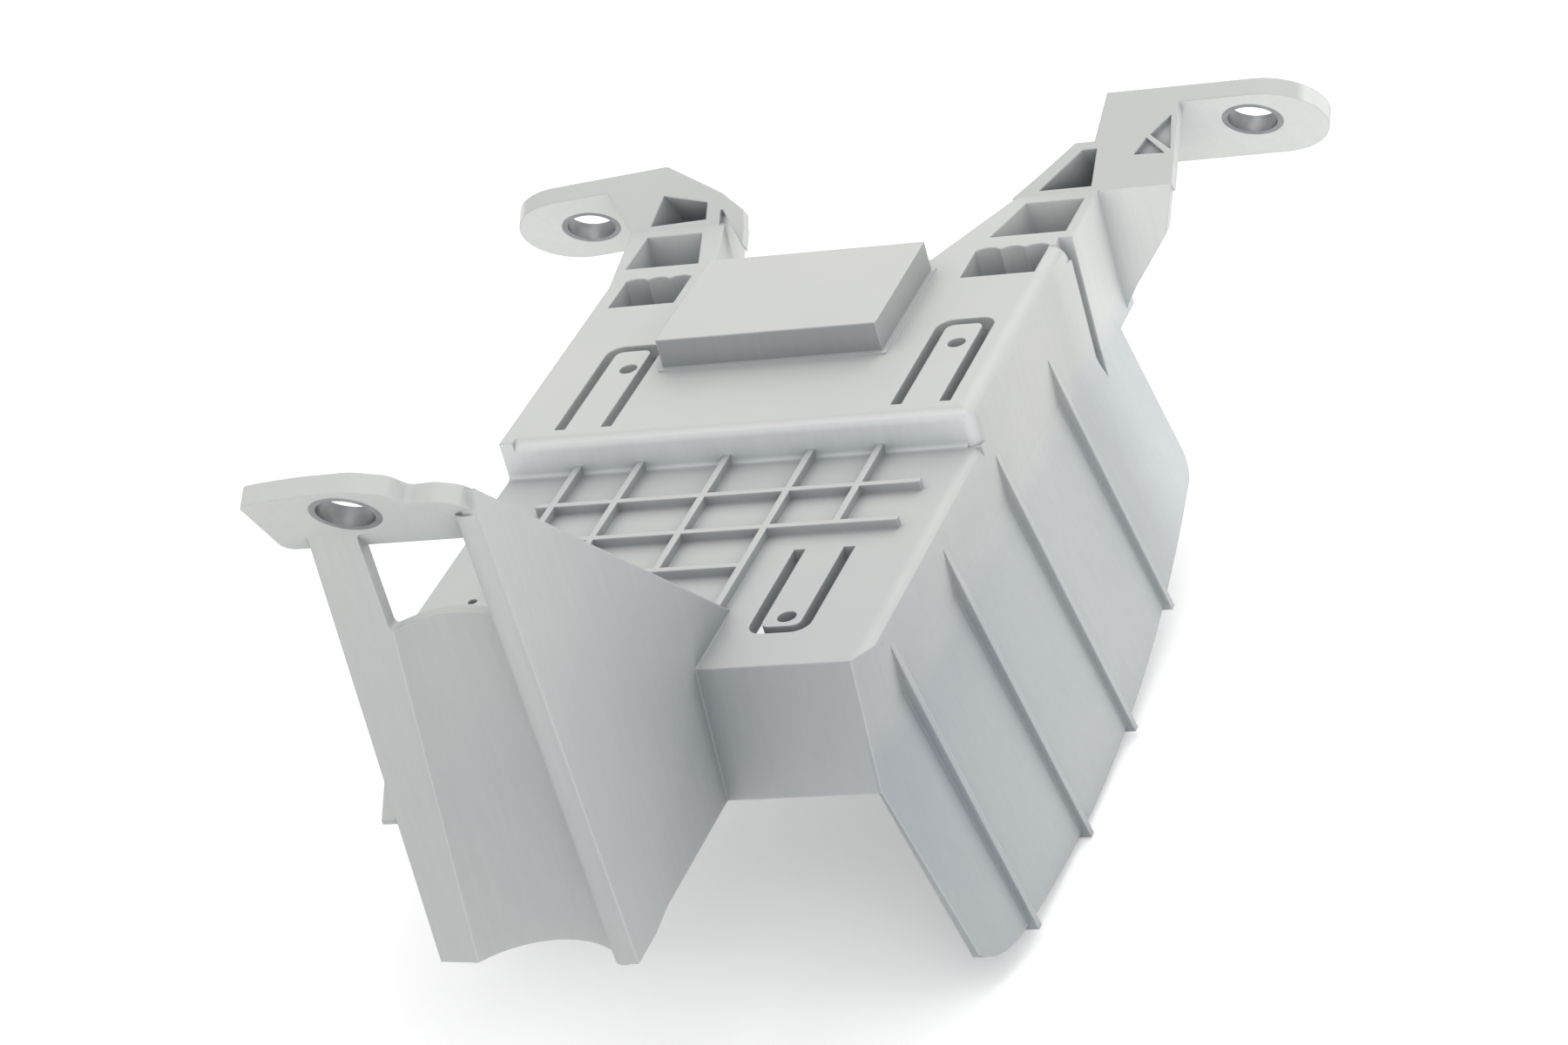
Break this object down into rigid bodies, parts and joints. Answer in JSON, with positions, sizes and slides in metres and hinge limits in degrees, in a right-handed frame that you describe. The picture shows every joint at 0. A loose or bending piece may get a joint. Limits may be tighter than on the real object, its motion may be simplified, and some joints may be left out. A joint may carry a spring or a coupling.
{
  "type": "blind spot sensor bracket",
  "caption": "Light grey moulded bracket that holds a blind spot radar sensor inside a car's rear corner, with three bolted tabs and a ribbed side flange.",
  "frame": {"origin": "middle of the flat underside of the sensor plate's lower floor, on which the sensor rests", "axes": "+Z along the plate's normal and away from the sensor, +Y along the plate from the front tab towards the two arms, +X across the plate towards the flange"},
  "size_m": [0.1539, 0.2257, 0.1267],
  "materials": {
    "moulding": "fine matt grain",
    "bush": "turned and plated"
  },
  "bodies": {
    "root": {"bracket": "moulding", "limiter_front": "bush", "limiter_right": "bush", "limiter_left": "bush"}
  },
  "joints": []
}
